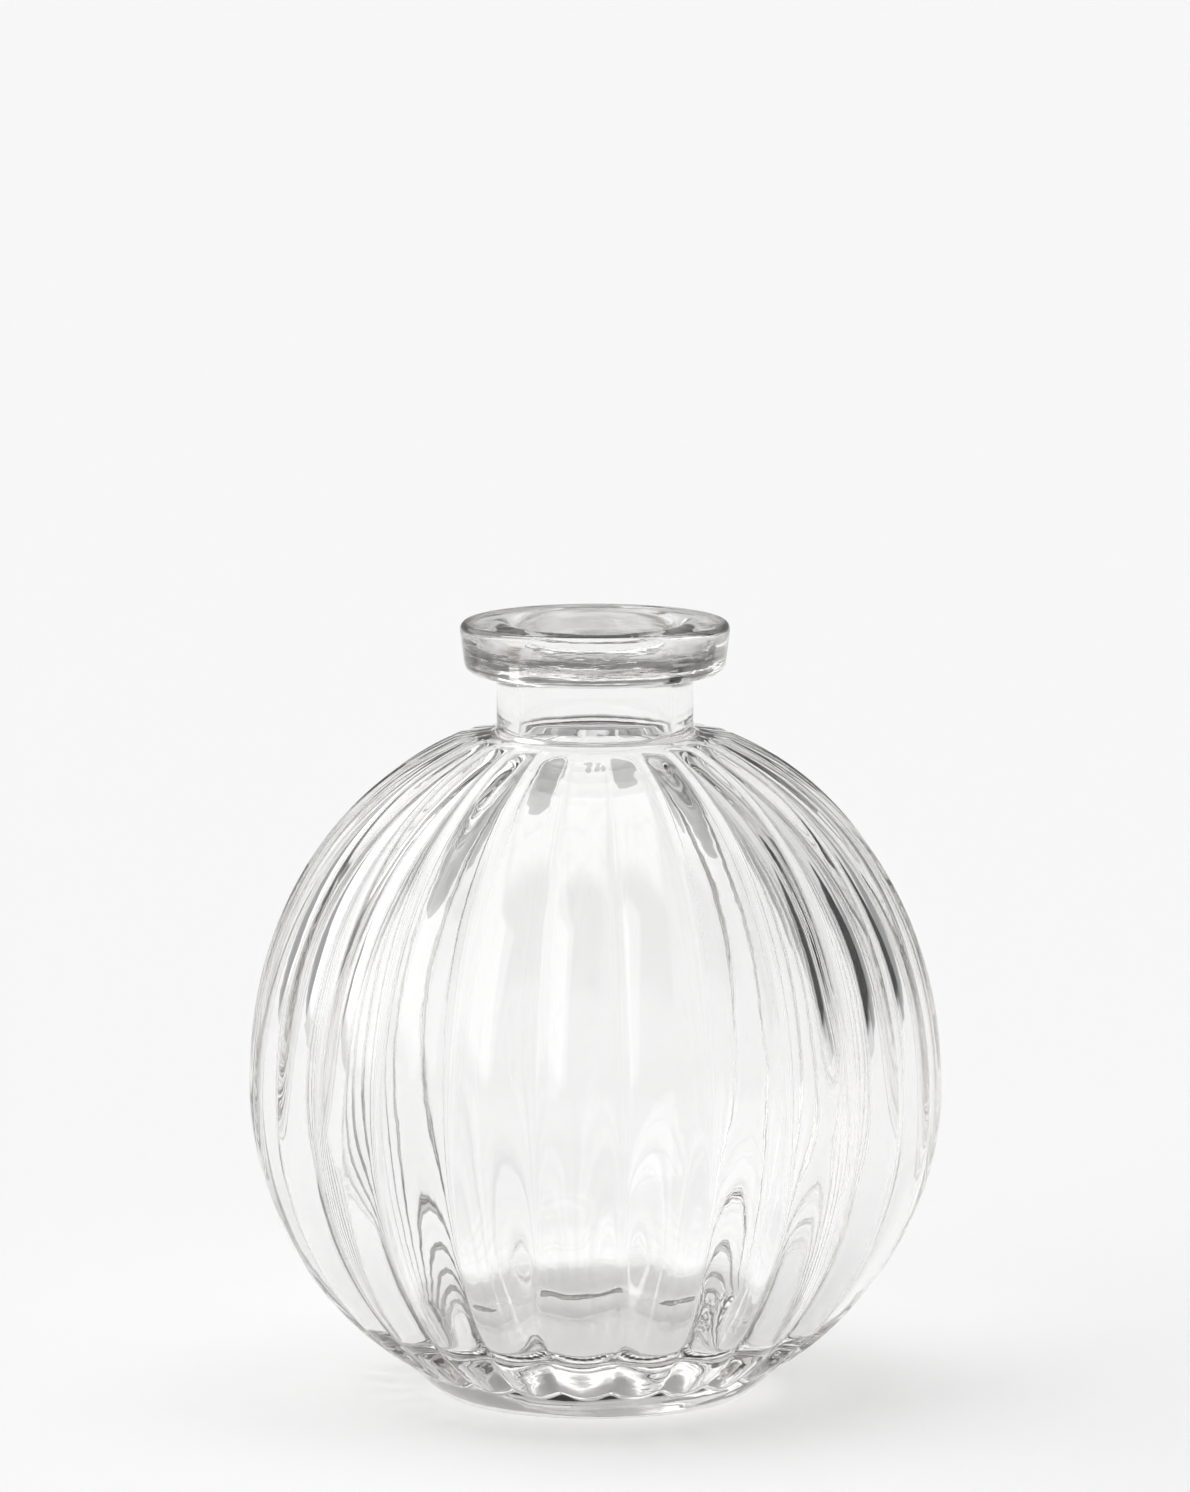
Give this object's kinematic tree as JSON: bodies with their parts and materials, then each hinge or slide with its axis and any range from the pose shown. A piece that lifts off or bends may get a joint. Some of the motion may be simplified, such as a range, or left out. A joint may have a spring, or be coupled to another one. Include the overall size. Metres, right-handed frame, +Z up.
{
  "type": "bud vase",
  "caption": "Small clear glass bud vase: a lobed globe body on a round heel, with a short neck and a flat ring lip round a narrow mouth.",
  "frame": {"origin": "centre of the circle that the vase stands on, at the level of the table", "axes": "+Z up along the vase's axis of revolution; a lobe's crest faces -Y, and so does the camera's side of the vase, near enough"},
  "size_m": [0.0892, 0.0892, 0.1],
  "materials": {
    "glass": "clear, fire-polished moulded glass"
  },
  "bodies": {
    "root": {"lip": "glass", "neck": "glass", "shoulder": "glass", "belly": "glass", "heel": "glass", "base": "glass"}
  },
  "joints": []
}
